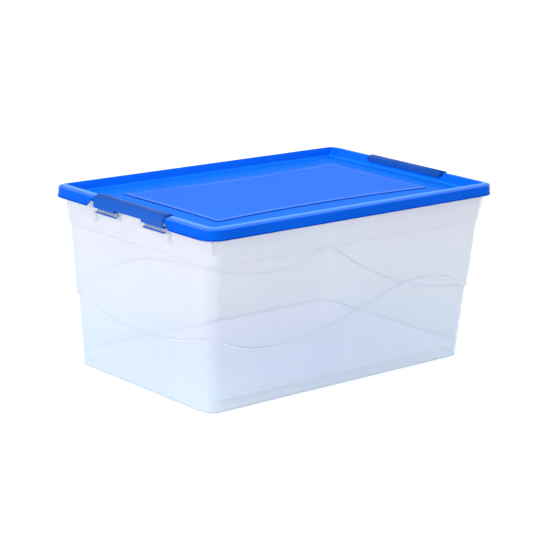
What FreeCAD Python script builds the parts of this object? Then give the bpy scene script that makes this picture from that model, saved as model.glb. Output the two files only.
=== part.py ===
"""Clip-lid storage box of about 50 litres: a clear tub, a blue lid and two blue swing latches.

Frame: origin at the centre of the base, +X along the long side, +Z up, millimetres.
The box looks the same after half a turn about Z, so each end feature is made once, at +X,
and turned for the other end.
"""
import FreeCAD, Part
import os
from math import cos, radians, sin

V = FreeCAD.Vector

# Tub walls: half sizes of the outside at the base, and how they grow with height
BASE_HALF_LENGTH = 265.0
BASE_HALF_WIDTH = 161.5
TUB_CORNER_R = 18.0
WALL_DRAFT = 0.065            # outward lean of the walls, mm per mm of height
BAND_DRAFT = 0.068            # the same for the band under the rim
WALL = 2.2                    # wall and floor thickness
FLOOR_TOP = 22.0              # the floor is raised on a foot skirt
WAVE_STEP = 2.0               # outward step of the wall at the wave line
BAND_STEP = 1.85              # outward step at the foot of the band
BAND_Z = 228.0
RIM_Z = 284.2                 # top of the tub rim
UPPER_START_Z = 60.0          # the wall above the wave is modelled from here and trimmed

# Wave line: height against distance along the wall
CORNER_WAVE_Z = 117.0
LONG_WAVE = [(-236.0, 102.0), (-125.0, 86.5), (25.0, 118.0), (180.0, 147.0)]
SHORT_WAVE_LOW_Z = 89.5
MITRE = 103.5                 # |x| - |y| on the plan diagonals through the wall corners
MITRE_X = 267.7               # where the wave lines of two walls meet
MITRE_Y = MITRE_X - MITRE

# Sizes of the shapes that only trim others
FAR = 400.0                   # beyond every outline
MARGIN = 1.0                  # how far a trimming shape runs past a face, or a joined one into it

# Rim flange round the top of the tub
FLANGE_HALF_LENGTH = 294.3
FLANGE_HALF_WIDTH = 188.6
FLANGE_CORNER_R = 22.0
FLANGE_THICKNESS = 2.2
LOW_RIM_Z = 280.2             # the rim is lower behind the latches
LOW_RIM_HALF = 90.0

# Latch pivot bars on each end of the tub, with the ribs that carry them
PIVOT_X = 293.0
PIVOT_Z = 267.0
BAR_R = 2.8
BAR_SPAN = (28.0, 93.0)
INNER_RIB = (28.0, 30.6)
OUTER_RIB = (88.4, 91.0)
RIB_BOSS_R = 4.3
INNER_RIB_FOOT_Z = 256.0
OUTER_RIB_FOOT_Z = 247.5
OUTER_RIB_NOSE_X = 294.6
RIB_TOP_Z = 276.0
RIB_ROOT_X = 285.2
RIB_ROOT_DEPTH = 1.4          # how far the foot of a rib runs into the wall
RIB_NOSE_DEG = 35.0           # where the slanted edge of an inner rib meets its boss

# Diagonal stiffening ribs at the corners, under the rim
CORNER_RIB_LOW_Z = 248.0
CORNER_RIB_HIGH_Z = 268.0
CORNER_RIB_REACH = 7.0
CORNER_RIB_LOW_REACH = 5.6
CORNER_RIB_THICKNESS = 2.4

# Lid: the outside at the lip, then the profile of the rim as (inset x, inset y, z)
LID_HALF_LENGTH = 300.0
LID_HALF_WIDTH = 193.6
LID_CORNER_R = 28.0
LID_OUTSIDE = [(0.0, 0.0, 270.3), (0.0, 0.0, 272.9), (1.1, 1.1, 273.8), (1.6, 1.6, 285.3),
               (2.2, 2.1, 286.0), (3.4, 3.2, 286.4), (15.4, 13.0, 288.4), (17.6, 14.4, 288.6)]
LID_RECESS = [(17.0, 13.8, 290.0), (17.6, 14.4, 288.6), (18.5, 15.2, 287.6), (23.0, 16.9, 274.6),
              (24.5, 18.2, 273.4)]
LID_CHANNEL_OUTER = [(2.1, 2.1, 269.0), (3.4, 3.3, 284.2), (16.0, 13.4, 286.5)]
LID_CHANNEL_INNER = [(21.6, 15.2, 269.0), (16.4, 13.0, 286.6)]
LID_UNDER_FLOOR = (20.0, 13.6)   # inset of the space under the lid's floor
RECESS_CORNER_R = 12.0        # corner radius at the top of the recess
TIGHTEST_CORNER_R = 6.0

# Lid top: a gently raised floor with a raised centre panel whose long edges curve inward
LEDGE_Z = 273.4
LEDGE_RISE = 2.3
PANEL_Z = 277.3
PANEL_HALF_LENGTH = 219.0
PANEL_HALF_WIDTH = 114.0
PANEL_LONG_BOW = 11.0
PANEL_SHORT_BOW = 2.0
PANEL_EDGE_R = 1.0
FLOOR_CORNER_R = 8.0
FLOOR_TOP_CORNER_R = 6.0
LID_THICKNESS = 2.0

# Gap in the lid rim for each latch, bridged by a low saddle
GAP_HALF = 88.8
SADDLE_TOP_Z = 282.4
SADDLE_IN_X = 280.6
SADDLE_OUT_X = 291.5
SADDLE_LIP_Z = 277.6
SADDLE_THICKNESS = 1.8
SADDLE_BEVEL = 1.0
SADDLE_END_DEPTH = 6.0        # how far the end walls of the saddle reach inward
GAP_TOP_Z = 297.3             # above the lid
GAP_INNER_CLEARANCE = 0.4
SKIRT_CHAMFER = ((88.0, 283.0), (100.5, 270.0))   # (|y|, z) ends of the skirt's slanted end

# Latch: outside of its cross-section as (x, z), from the foot of the face to the hook end
LATCH_HALF = 84.0
LEG_START = 33.0
LEG_FOOT_Z = 271.0
CENTRE_FOOT_Z = 274.5
LATCH_THICKNESS = 2.2
FACE_FOOT_X = 298.8
SHOULDER = (297.9, 281.2)
CROWN_SIDE = (294.6, 288.4)
CROWN = (286.4, 291.4)
HOOK_TOP = (278.0, 287.8)
HOOK_TIP = (276.5, 280.7)
# Where the crown side, hook top and tip lie on the inside, as (x, z) offsets in thicknesses
INSIDE_OFFSETS = [(-0.75, -0.75), (0.85, -0.6), (0.8, 0.0)]
WRAP_INNER_R = 3.1
WRAP_OUTER_R = 5.1
WRAP_FROM_DEG = 62.0
WRAP_TO_DEG = 290.0
WEB_THICKNESS = 2.0           # plate between a leg's face and its wrap
LATCH_RIBS_Y = (-83.2, -50.0, -16.6, 16.6, 50.0, 83.2)   # the outer two close the ends
LATCH_RIB_THICKNESS = 1.6
LATCH_RIB_FOOT_Z = 282.9
LATCH_RIB_SPAN_X = (280.0, 292.6)
LATCH_RIB_TOP = [(296.4, 283.8), (293.0, 287.5), (286.4, 290.2), (279.0, 287.0), (277.9, 282.9)]


def rounded_rectangle(half_x, half_y, radius, z):
    """Closed wire of a rounded rectangle centred on the Z axis."""
    edges = []
    corners = [(1, 1), (-1, 1), (-1, -1), (1, -1)]
    points = []
    for index, (sx, sy) in enumerate(corners):
        centre = V(sx * (half_x - radius), sy * (half_y - radius), z)
        start = radians(90 * index)
        arc = [centre + V(cos(start + radians(a)), sin(start + radians(a)), 0) * radius for a in (0, 45, 90)]
        points.append(arc)
    for index, arc in enumerate(points):
        following = points[(index + 1) % 4]
        edges.append(Part.Arc(*arc).toShape())
        edges.append(Part.makeLine(arc[2], following[0]))
    return Part.Wire(edges)


def loft(sections):
    """Solid through rounded rectangles given as (half x, half y, radius, z)."""
    return Part.makeLoft([rounded_rectangle(*section) for section in sections], True, True)


def box(x0, x1, y0, y1, z0, z1):
    return Part.makeBox(x1 - x0, y1 - y0, z1 - z0, V(x0, y0, z0))


def prism_xz(points, y0, y1):
    """Straight prism along Y from an outline of (x, z) points."""
    wire = Part.makePolygon([V(x, y0, z) for x, z in points + points[:1]])
    return Part.Face(wire).extrude(V(0, y1 - y0, 0))


def prism_yz(points, x0, x1):
    """Straight prism along X from an outline of (y, z) points."""
    wire = Part.makePolygon([V(x0, y, z) for y, z in points + points[:1]])
    return Part.Face(wire).extrude(V(x1 - x0, 0, 0))


def half_turn(shape):
    """Copy of a shape turned 180 degrees about Z."""
    turned = shape.copy()
    turned.rotate(V(0, 0, 0), V(0, 0, 1), 180)
    return turned


def mirror_y(shape):
    return shape.mirror(V(0, 0, 0), V(0, 1, 0))


def wall_section(z, step, inset):
    """Rounded rectangle of the drafted wall at height z, stepped out and then inset."""
    grow = WALL_DRAFT * z + step - inset
    return (BASE_HALF_LENGTH + grow, BASE_HALF_WIDTH + grow, TUB_CORNER_R - inset, z)


def band_section(z, inset):
    """Rounded rectangle of the band under the rim at height z."""
    foot = WALL_DRAFT * BAND_Z + WAVE_STEP + BAND_STEP
    grow = foot + BAND_DRAFT * (z - BAND_Z) - inset
    return (BASE_HALF_LENGTH + grow, BASE_HALF_WIDTH + grow, TUB_CORNER_R - inset, z)


def region_below(points, curve):
    """Face below a wave line in its plane, with the line straight beyond both ends."""
    first, last = points[0], points[-1]
    left = first + (first - last).normalize() * FAR
    right = last + (last - first).normalize() * FAR
    low_left = V(left.x, left.y, 0)
    low_right = V(right.x, right.y, 0)
    lines = [Part.makeLine(left, first), curve.toShape(), Part.makeLine(last, right),
             Part.makeLine(right, low_right), Part.makeLine(low_right, low_left),
             Part.makeLine(low_left, left)]
    return Part.Face(Part.Wire(lines))


def below_long_wave(lift):
    """Region below the wave line of the wall at -Y."""
    ends = [(-MITRE_X, CORNER_WAVE_Z)] + LONG_WAVE + [(MITRE_X, CORNER_WAVE_Z)]
    points = [V(x, 0, z + lift) for x, z in ends]
    curve = Part.BSplineCurve()
    curve.interpolate(points)
    slab = region_below(points, curve).extrude(V(0, -FAR, 0))
    reach = FAR - MITRE
    plan = Part.makePolygon([V(-MITRE, 0, 0), V(-FAR, -reach, 0), V(FAR, -reach, 0), V(MITRE, 0, 0),
                             V(-MITRE, 0, 0)])
    return slab.common(Part.Face(plan).extrude(V(0, 0, RIM_Z)))


def below_short_wave(lift):
    """Region below the wave line of the wall at +X."""
    points = [V(0, -MITRE_Y, CORNER_WAVE_Z + lift), V(0, 0, SHORT_WAVE_LOW_Z + lift),
              V(0, MITRE_Y, CORNER_WAVE_Z + lift)]
    slab = region_below(points, Part.Arc(*points)).extrude(V(FAR, 0, 0))
    reach = FAR - MITRE
    plan = Part.makePolygon([V(MITRE, 0, 0), V(FAR, -reach, 0), V(FAR, reach, 0), V(MITRE, 0, 0)])
    return slab.common(Part.Face(plan).extrude(V(0, 0, RIM_Z)))


def tub_body(inset, bottom):
    """Solid of the stepped tub, inset from the outside, with its steps raised by the inset."""
    step_z = BAND_Z + inset
    lower = loft([wall_section(bottom, 0, inset), wall_section(step_z, 0, inset)])
    upper = loft([wall_section(UPPER_START_Z, WAVE_STEP, inset), wall_section(step_z, WAVE_STEP, inset)])
    band = loft([band_section(step_z, inset), band_section(RIM_Z, inset)])
    long_wave = below_long_wave(inset)
    short_wave = below_short_wave(inset)
    for region in (long_wave, half_turn(long_wave), short_wave, half_turn(short_wave)):
        upper = upper.cut(region)
    return lower.fuse([upper, band])


def rim_flange():
    """Flange turned out round the top of the tub, lowered away behind the latches."""
    low = RIM_Z - FLANGE_THICKNESS
    outer = [(FLANGE_HALF_LENGTH, FLANGE_HALF_WIDTH, FLANGE_CORNER_R, z) for z in (low, RIM_Z)]
    return loft(outer).cut(loft([band_section(low, WALL / 2), band_section(RIM_Z, WALL / 2)]))


def rib_with_boss(foot, y0, y1):
    """Upright rib at the +X end: the outline of its foot, and a round boss for the pivot bar."""
    boss = Part.makeCylinder(RIB_BOSS_R, y1 - y0, V(PIVOT_X, y0, PIVOT_Z), V(0, 1, 0))
    outline = foot + [(PIVOT_X, PIVOT_Z), (PIVOT_X, PIVOT_Z + RIB_BOSS_R), (RIB_ROOT_X, RIB_TOP_Z)]
    return prism_xz(outline, y0, y1).fuse(boss)


def pivot_bars():
    """Bars and ribs for one latch, at the +X end."""
    start, end = BAR_SPAN
    root = RIB_ROOT_X - RIB_ROOT_DEPTH
    slant = radians(RIB_NOSE_DEG)
    nose = (PIVOT_X + RIB_BOSS_R * cos(slant), PIVOT_Z - RIB_BOSS_R * sin(slant))
    outer_foot = [(root, OUTER_RIB_FOOT_Z), (OUTER_RIB_NOSE_X, OUTER_RIB_FOOT_Z), (OUTER_RIB_NOSE_X, PIVOT_Z)]
    bar = Part.makeCylinder(BAR_R, end - start, V(PIVOT_X, start, PIVOT_Z), V(0, 1, 0))
    inner_rib = rib_with_boss([(root, INNER_RIB_FOOT_Z), nose], *INNER_RIB)
    half = bar.fuse([inner_rib, rib_with_boss(outer_foot, *OUTER_RIB)])
    return half.fuse(mirror_y(half))


def corner_rib():
    """Diagonal rib under the rim at the corner (+X, +Y)."""
    half_x, half_y, radius, top = band_section(CORNER_RIB_HIGH_Z, 0)
    inner = radius - WALL / 2
    inner_low = inner - BAND_DRAFT * (CORNER_RIB_HIGH_Z - CORNER_RIB_LOW_Z)
    outline = [(inner_low, CORNER_RIB_LOW_Z), (radius + CORNER_RIB_LOW_REACH, CORNER_RIB_LOW_Z),
               (radius + CORNER_RIB_REACH, top), (inner, top)]
    rib = prism_xz(outline, -CORNER_RIB_THICKNESS / 2, CORNER_RIB_THICKNESS / 2)
    rib.rotate(V(0, 0, 0), V(0, 0, 1), 45)
    rib.translate(V(half_x - radius, half_y - radius, 0))
    return rib


def make_tub():
    outside = tub_body(0.0, 0.0)
    shell = outside.cut(tub_body(WALL, FLOOR_TOP))
    shell = shell.cut(loft([band_section(z, WALL) for z in (RIM_Z - MARGIN, RIM_Z + MARGIN)]))
    under_floor = loft([wall_section(z, 0, WALL) for z in (-MARGIN, FLOOR_TOP - WALL)])
    shell = shell.cut(under_floor).fuse(rim_flange())
    low_rim = box(BASE_HALF_LENGTH, FAR, -LOW_RIM_HALF, LOW_RIM_HALF, LOW_RIM_Z, RIM_Z + MARGIN)
    shell = shell.cut([low_rim, half_turn(low_rim)])
    rib = corner_rib()
    ribs = [rib, mirror_y(rib)]
    bars = pivot_bars()
    extras = ribs + [half_turn(one) for one in ribs] + [bars, half_turn(bars)]
    return shell.fuse(extras).removeSplitter()


def lid_loft(profile, radius_loss):
    """Solid through the lid's lip outline, inset as each (inset x, inset y, z) says."""
    sections = []
    for inset_x, inset_y, z in profile:
        radius = max(LID_CORNER_R - inset_y - radius_loss, TIGHTEST_CORNER_R)
        sections.append((LID_HALF_LENGTH - inset_x, LID_HALF_WIDTH - inset_y, radius, z))
    return loft(sections)


def panel_prism(inset, z0, z1):
    """Prism of the centre panel's outline, whose four sides curve gently inward."""
    half_x, half_y = PANEL_HALF_LENGTH - inset, PANEL_HALF_WIDTH - inset
    end, side = half_x - PANEL_SHORT_BOW, half_y - PANEL_LONG_BOW
    corners = [V(sx * half_x, sy * half_y, z0) for sx, sy in ((1, 1), (-1, 1), (-1, -1), (1, -1))]
    middles = [V(0, side, z0), V(-end, 0, z0), V(0, -side, z0), V(end, 0, z0)]
    sides = [Part.Arc(corners[i - 1], middles[i - 1], corners[i]).toShape() for i in range(4)]
    return Part.Face(Part.Wire(sides)).extrude(V(0, 0, z1 - z0))


def lid_floor(drop):
    """The lid's floor, rising from the rim to the panel, lowered by drop."""
    edge_x, edge_y, _ = LID_RECESS[-1]
    foot_x, foot_y = LID_HALF_LENGTH - edge_x + MARGIN, LID_HALF_WIDTH - edge_y + MARGIN
    top_x, top_y = PANEL_HALF_LENGTH + 2 * MARGIN, PANEL_HALF_WIDTH + MARGIN
    low = LEDGE_Z - drop
    return loft([(foot_x, foot_y, FLOOR_CORNER_R, low), (top_x, top_y, FLOOR_TOP_CORNER_R, low + LEDGE_RISE)])


def raised_panel():
    panel = panel_prism(0.0, LEDGE_Z, PANEL_Z)
    top_edges = [edge for edge in panel.Edges if all(abs(v.Z - PANEL_Z) < 1e-6 for v in edge.Vertexes)]
    return panel.makeFillet(PANEL_EDGE_R, top_edges)


def recess():
    """Space that the rim leaves open above the lid's floor."""
    return lid_loft(LID_RECESS, LID_CORNER_R - LID_RECESS[1][1] - RECESS_CORNER_R)


def saddle():
    """Low bridge over the tub rim in the lid's gap at +X, with an end wall at each side."""
    t = SADDLE_THICKNESS
    roof = SADDLE_TOP_Z - t
    edge_x = LID_HALF_LENGTH - LID_RECESS[-1][0]
    outline = [(edge_x - MARGIN, LEDGE_Z - LID_THICKNESS), (edge_x + LID_THICKNESS, LEDGE_Z - LID_THICKNESS),
               (SADDLE_IN_X + t, roof), (SADDLE_OUT_X - t, roof),
               (SADDLE_OUT_X - t, SADDLE_LIP_Z), (SADDLE_OUT_X, SADDLE_LIP_Z),
               (SADDLE_OUT_X, SADDLE_TOP_Z - SADDLE_BEVEL), (SADDLE_OUT_X - SADDLE_BEVEL, SADDLE_TOP_Z),
               (SADDLE_IN_X + SADDLE_BEVEL, SADDLE_TOP_Z), (SADDLE_IN_X, SADDLE_TOP_Z - SADDLE_BEVEL),
               (edge_x - MARGIN, LEDGE_Z)]
    bridge = prism_xz(outline, -GAP_HALF, GAP_HALF)
    end = box(SADDLE_IN_X - SADDLE_END_DEPTH, FAR, GAP_HALF - t, GAP_HALF, roof, GAP_TOP_Z)
    end = end.common(lid_loft(LID_OUTSIDE, 0.0).cut(recess()))
    return bridge.fuse([end, mirror_y(end)])


def skirt_gap():
    """What the gap for the latch at +X takes out of the lid rim."""
    edge_x = LID_HALF_LENGTH - LID_RECESS[-1][0] + GAP_INNER_CLEARANCE
    opening = box(edge_x, FAR, -GAP_HALF, GAP_HALF, LID_OUTSIDE[0][2] - MARGIN, GAP_TOP_Z)
    (y_high, z_high), (y_low, z_low) = SKIRT_CHAMFER
    slant = prism_yz([(-y_low, z_low), (-y_high, z_high), (y_high, z_high), (y_low, z_low)],
                     SADDLE_OUT_X + MARGIN, FAR)
    return opening.fuse(slant)


def make_lid():
    rim = lid_loft(LID_OUTSIDE, 0.0).cut(recess())
    channel = lid_loft(LID_CHANNEL_OUTER, 0.0).cut(lid_loft(LID_CHANNEL_INNER, 0.0))
    under = LEDGE_Z - LID_THICKNESS
    below_floor = lid_loft([(*LID_UNDER_FLOOR, z) for z in (LID_CHANNEL_INNER[0][2], under)], 0.0)
    shell = rim.fuse([lid_floor(0.0), raised_panel()]).cut([channel, below_floor])
    shell = shell.cut([lid_floor(LID_THICKNESS), panel_prism(LID_THICKNESS, under, PANEL_Z - LID_THICKNESS)])
    gap = skirt_gap()
    bridge = saddle()
    shell = shell.cut([gap, half_turn(gap)])
    return shell.fuse([bridge, half_turn(bridge)]).removeSplitter()


def latch_outline(foot_z):
    """Closed cross-section of the latch's arched plate, down to foot_z on its face."""
    t = LATCH_THICKNESS
    outside = [SHOULDER, CROWN_SIDE, CROWN, HOOK_TOP, HOOK_TIP]
    shoulder, side, crown, top, tip = [V(x, 0, z) for x, z in outside]
    foot = V(FACE_FOOT_X, 0, foot_z)
    in_shoulder, in_crown, in_foot = shoulder - V(t, 0, 0), crown - V(0, 0, t), foot - V(t, 0, 0)
    offsets = [V(x * t, 0, z * t) for x, z in INSIDE_OFFSETS]
    in_side, in_top, in_tip = [point + offset for point, offset in zip((side, top, tip), offsets)]
    edges = [Part.makeLine(foot, shoulder), Part.Arc(shoulder, side, crown).toShape(),
             Part.makeLine(crown, top), Part.makeLine(top, tip), Part.makeLine(tip, in_tip),
             Part.makeLine(in_tip, in_top), Part.makeLine(in_top, in_crown),
             Part.Arc(in_crown, in_side, in_shoulder).toShape(),
             Part.makeLine(in_shoulder, in_foot), Part.makeLine(in_foot, foot)]
    return Part.Face(Part.Wire(edges))


def plate(foot_z, y0, y1):
    face = latch_outline(foot_z)
    face.translate(V(0, y0, 0))
    return face.extrude(V(0, y1 - y0, 0))


def wrap(y0, y1):
    """C-shaped wrap of a leg, open outward, that turns on the pivot bar."""
    ring = Part.makeCylinder(WRAP_OUTER_R, y1 - y0, V(PIVOT_X, y0, PIVOT_Z), V(0, 1, 0))
    ring = ring.cut(Part.makeCylinder(WRAP_INNER_R, y1 - y0, V(PIVOT_X, y0, PIVOT_Z), V(0, 1, 0)))
    reach = WRAP_OUTER_R + WRAP_OUTER_R
    mouth = [(PIVOT_X, PIVOT_Z)]
    for angle in (WRAP_TO_DEG - 360.0, 0.0, WRAP_FROM_DEG):
        mouth.append((PIVOT_X + reach * cos(radians(angle)), PIVOT_Z + reach * sin(radians(angle))))
    ring = ring.cut(prism_xz(mouth, y0 - MARGIN, y1 + MARGIN))
    web = box(PIVOT_X - MARGIN, FACE_FOOT_X, y0, y1, LEG_FOOT_Z, LEG_FOOT_Z + WEB_THICKNESS)
    return ring.fuse(web)


def latch_rib(y):
    """Rib inside the arch that bears on the lid's saddle."""
    half = LATCH_RIB_THICKNESS / 2
    outline = [(x, LATCH_RIB_FOOT_Z) for x in LATCH_RIB_SPAN_X] + LATCH_RIB_TOP
    return prism_xz(outline, y - half, y + half)


def make_latch():
    """Latch at the +X end: arched plate, two legs wrapped on the pivot bars, and inner ribs."""
    body = plate(CENTRE_FOOT_Z, -LATCH_HALF, LATCH_HALF)
    leg = plate(LEG_FOOT_Z, LEG_START, LATCH_HALF).fuse(wrap(LEG_START, LATCH_HALF))
    pieces = [leg, mirror_y(leg)] + [latch_rib(y) for y in LATCH_RIBS_Y]
    return body.fuse(pieces).removeSplitter()


os.makedirs("parts", exist_ok=True)
latch = make_latch()
nodes = {"tub": make_tub(), "lid": make_lid(), "latch_right": latch, "latch_left": half_turn(latch)}
for name, shape in nodes.items():
    volume = round(shape.Volume / 1000, 1)
    print(name, "valid", shape.isValid(), "solids", len(shape.Solids), "volume cm3", volume, shape.BoundBox)
    shape.exportStep("parts/" + name + ".step")
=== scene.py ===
"""Looks of the clip-lid storage box: clear tub, blue lid and two blue latches.

Every piece is mesh code in the frame's own axes: +X along the long side, +Z up, origin at the
centre of the base. Sizes are written in millimetres and turned to metres when a mesh is made.
"""
from collections import namedtuple
from math import cos, pi, radians, sin, tan

import bmesh
import bpy
from mathutils import Matrix, Vector


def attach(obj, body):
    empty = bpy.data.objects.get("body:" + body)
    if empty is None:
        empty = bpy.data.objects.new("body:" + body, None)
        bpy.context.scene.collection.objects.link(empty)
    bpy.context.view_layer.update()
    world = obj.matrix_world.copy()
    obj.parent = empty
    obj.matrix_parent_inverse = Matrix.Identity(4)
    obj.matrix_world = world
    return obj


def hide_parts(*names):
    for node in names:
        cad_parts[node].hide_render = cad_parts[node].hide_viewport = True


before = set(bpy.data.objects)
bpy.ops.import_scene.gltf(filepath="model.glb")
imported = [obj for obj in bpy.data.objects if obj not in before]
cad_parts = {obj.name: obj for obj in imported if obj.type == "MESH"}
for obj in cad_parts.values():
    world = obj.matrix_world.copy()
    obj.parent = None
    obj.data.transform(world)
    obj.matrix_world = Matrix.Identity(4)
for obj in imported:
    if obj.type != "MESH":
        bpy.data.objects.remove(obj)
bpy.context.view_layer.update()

MM = 0.001

# Stations round the box: ends of the straight sides, steps in a corner, close places on a short side
LONG_SIDE_END = 245.0
SHORT_SIDE_END = 140.0
CORNER_STEPS = 12
END_MARKS = [87.0, 88.5, 88.8, 89.6, 90.2, 90.6, 92.0, 94.5, 97.0, 98.8, 100.5, 104.0]  # at the latch gap

# Tub: (half x, half y) or (half x, half y, corner radius) of its outlines, and heights
BASE = (265.0, 161.5)
TUB_R = 18.0
WALL_DRAFT = 0.065
BAND_DRAFT = 0.068
WALL = 2.2
FLOOR_TOP = 22.0
WAVE_STEP = 2.0
BAND_STEP = 1.85
BAND_Z = 228.0
RIM_Z = 284.2
FLANGE = (294.3, 188.6, 22.0)
FLANGE_THICKNESS = 2.2
LOW_RIM_Z = 280.2
LOW_RIM_HALF = 90.0

# Wave line of the walls: (distance along the wall, height), and how much wider than the base it is
MITRE = (267.7, 164.2)
WAVE_GROWTH = 8.7
CORNER_WAVE_Z = 117.0
LONG_WAVE = [(-267.7, 117.0), (-236.0, 102.0), (-125.0, 86.5), (25.0, 118.0), (180.0, 147.0), (267.7, 117.0)]
SHORT_WAVE_LOW_Z = 89.5

# Latch pivots: bars and the ribs that carry them, as (x, z) or spans along y
PIVOT = (293.0, 267.0)
BAR_R = 2.8
BAR_SPAN = (28.0, 93.0)
RIB_SPANS = ((28.0, 30.6), (88.4, 91.0))
BOSS_R = 4.3
RIB_NOSE_X = 294.6
RIB_TOP = (285.2, 276.0)
OUTER_RIB_LOW = 247.5
OUTER_RIB_ROOT_X = 284.4
INNER_RIB_LOW = 256.0
INNER_RIB_ROOT_X = 284.9

# Diagonal ribs at the corners: (distance out from the corner's arc, height)
CORNER_RIB = [(-2.4, 248.0), (5.6, 248.0), (7.0, 268.0), (-1.1, 268.0)]
CORNER_RIB_TOP = 268.0
CORNER_RIB_HALF = 1.2
FITTING_BEVEL = 0.35
BEVEL_ANGLE = 38.0

# Lid. A corner rule is (radius lost per millimetre of inset, least radius).
LIP = (300.0, 193.6)
LIP_R = 28.0
TOP_CORNER = (1.5, 5.0)
UNDER_CORNER = (1.35, 7.0)
ROW_GAP = 0.01
PANEL = (219.0, 114.0)
PANEL_BOW = (2.0, 11.0)
PANEL_R = 4.0
PANEL_Z = 277.3
LEDGE_Z = 273.4
PANEL_FOOT_Z = 275.7
PANEL_FILLET = 1.6
LID_THICKNESS = 2.0
GAP_HALF = 88.8
GAP_WALL = 1.8
SADDLE = {"in": 280.6, "out": 291.5, "top": 282.4, "lip": 277.6, "thickness": 1.8}
SKIRT_CUT = ((88.8, 282.2), (100.5, 270.0))

# Latches: (x, z, fillet radius) corners of their cross-section
LATCH_HALF = 84.0
LEG_START = 33.0
LATCH_BEVEL = 0.45
ARCH_OUT = [(297.9, 281.2, 5.0), (295.2, 288.6, 5.0), (286.4, 291.35, 12.0), (278.2, 288.6, 2.2),
            (276.5, 280.7, 0.5)]
ARCH_IN = [(278.3, 280.7, 0.5), (279.8, 286.9, 1.2), (286.4, 289.1, 9.0), (293.6, 286.9, 3.0),
           (295.7, 281.2, 3.0)]
LEG_BACK = [(296.55, 272.8, 0.6), (292.0, 272.8, 0.0)]
LEG_FOOT = [(295.1, 271.0, 0.0), (298.8, 271.0, 0.4)]
CENTRE_FOOT = [(296.35, 274.5, 0.3), (298.5, 274.5, 0.4)]
WRAP_OUTSIDE_R = 5.1
WRAP_INSIDE_R = 3.1
WRAP_OUTSIDE_START = 102.0
WRAP_INSIDE_START = 62.0
WRAP_END = 290.0
WRAP_STEPS = 20
LATCH_RIB = [(280.0, 282.9), (292.6, 282.9), (296.4, 283.8), (293.5, 287.6), (286.4, 290.2),
             (279.2, 287.2), (278.2, 282.9)]
LATCH_RIB_HALF = 0.8
LATCH_RIB_PLACES = (-83.2, -50.0, -16.6, 16.6, 50.0, 83.2)

# Looks. Each blue one: darker and lighter colour, roughness range, grain (scale, depth in metres),
# specular level.
# The lid is one blue plastic: these blues are lit and shaded copies of it, painted light for each band of
# its profile. shade and skirt are painted shade, the crest, fold and shoulder bands are painted highlights,
# and strip, wall, ledge and panel differ by painted light as well.
BLUE_LOOKS = {
    # painted shade: a dark blue line at the skirt's foot and along the panel's riser
    "shade": ((0.0, 0.036, 0.33), (0.0, 0.043, 0.37), (0.30, 0.38), (700.0, 0.00003), 0.01),
    # painted shade: the skirt's upright sides darker than the top of the lid
    "skirt": ((0.0, 0.068, 0.46), (0.0005, 0.078, 0.52), (0.26, 0.34), (700.0, 0.00004), 0.02),
    "strip": ((0.022, 0.125, 0.72), (0.026, 0.135, 0.78), (0.26, 0.34), (700.0, 0.00004), 0.03),
    # painted highlight: a pale azure band just outside the crest of the rim
    "crest_highlight": ((0.055, 0.245, 0.86), (0.065, 0.265, 0.92), (0.20, 0.26), (700.0, 0.00002), 0.06),
    "wall": ((0.0, 0.108, 0.66), (0.0005, 0.118, 0.72), (0.26, 0.34), (700.0, 0.00004), 0.03),
    # painted highlight: a lighter blue line along the fillet at the foot of the rim wall
    "fold_highlight": ((0.002, 0.160, 0.78), (0.004, 0.175, 0.84), (0.20, 0.26), (700.0, 0.00002), 0.04),
    "ledge": ((0.003, 0.136, 0.70), (0.004, 0.148, 0.76), (0.30, 0.38), (900.0, 0.00004), 0.005),
    # painted highlight: a slightly lighter blue line along the panel's top edge
    "shoulder_highlight": ((0.006, 0.128, 0.74), (0.009, 0.142, 0.80), (0.24, 0.30), (900.0, 0.00002), 0.06),
    "panel": ((0.004, 0.120, 0.72), (0.007, 0.134, 0.78), (0.50, 0.58), (1400.0, 0.00006), 0.04),
}
LATCH_LOOK = ((0.007, 0.064, 0.31), (0.010, 0.072, 0.35), (0.24, 0.32), (700.0, 0.00004), 0.02)

# Each clear one: tints low and high on the tub, opacity range at a square look, opacity added at a
# grazing look, strength of the glow.
CLEAR_LOOKS = {
    "clear": ((0.66, 0.745, 0.80), (0.80, 0.76, 0.76), (0.24, 0.32), 0.36, 0.0),
    # painted highlight: a paler, more opaque line along the wave step
    "wave_highlight_line": ((0.88, 0.90, 0.93), (0.88, 0.87, 0.89), (0.50, 0.58), 0.30, 0.0),
    # painted shade: a darker grey line along the foot's edge, under the inner wave step and at the floor
    # fillet
    "shade_line": ((0.50, 0.58, 0.68), (0.54, 0.58, 0.66), (0.55, 0.62), 0.30, 0.0),
    "fitting": ((0.80, 0.85, 0.89), (0.82, 0.85, 0.88), (0.18, 0.24), 0.15, 0.0),
    # painted light: the floor finish is paler and more opaque than the walls and glows, to brighten the
    # tub's floor
    "floor": ((0.94, 0.97, 0.985), (0.94, 0.97, 0.985), (0.84, 0.88), 0.08, 0.25),
}
PLASTIC_IOR = 1.49
GRAIN_DETAIL = 2.0
BLUE_CLOUD = (9.0, 3.0)  # scale and detail of a noise
CLEAR_CLOUD = (7.0, 4.0)
CLEAR_CLOUD_STRETCH = (1.0, 1.0, 0.5)
CLEAR_ROUGHNESS = (0.36, 0.46)
CLEAR_GRAIN = (900.0, 0.00003)
CLEAR_SPECULAR = 0.3
CLEAR_SEEN_THROUGH = (0.918, 0.943, 0.953)
# painted light: colour of the glow that brightens the tub's floor
GLOW_COLOUR = (1.0, 0.84, 1.0)
MILK_SHARE = 0.45  # share of the light that goes through and scatters
GRAZING_BLEND = 0.35
# painted light: the tint turns bluer towards the foot, standing for blue light bounced from the lid
TINT_HEIGHTS = (0.03, 0.22)  # metres, from the low tint to the high one
TINT_CLIMB = 0.8
TINT_CLOUD = 0.2

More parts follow.
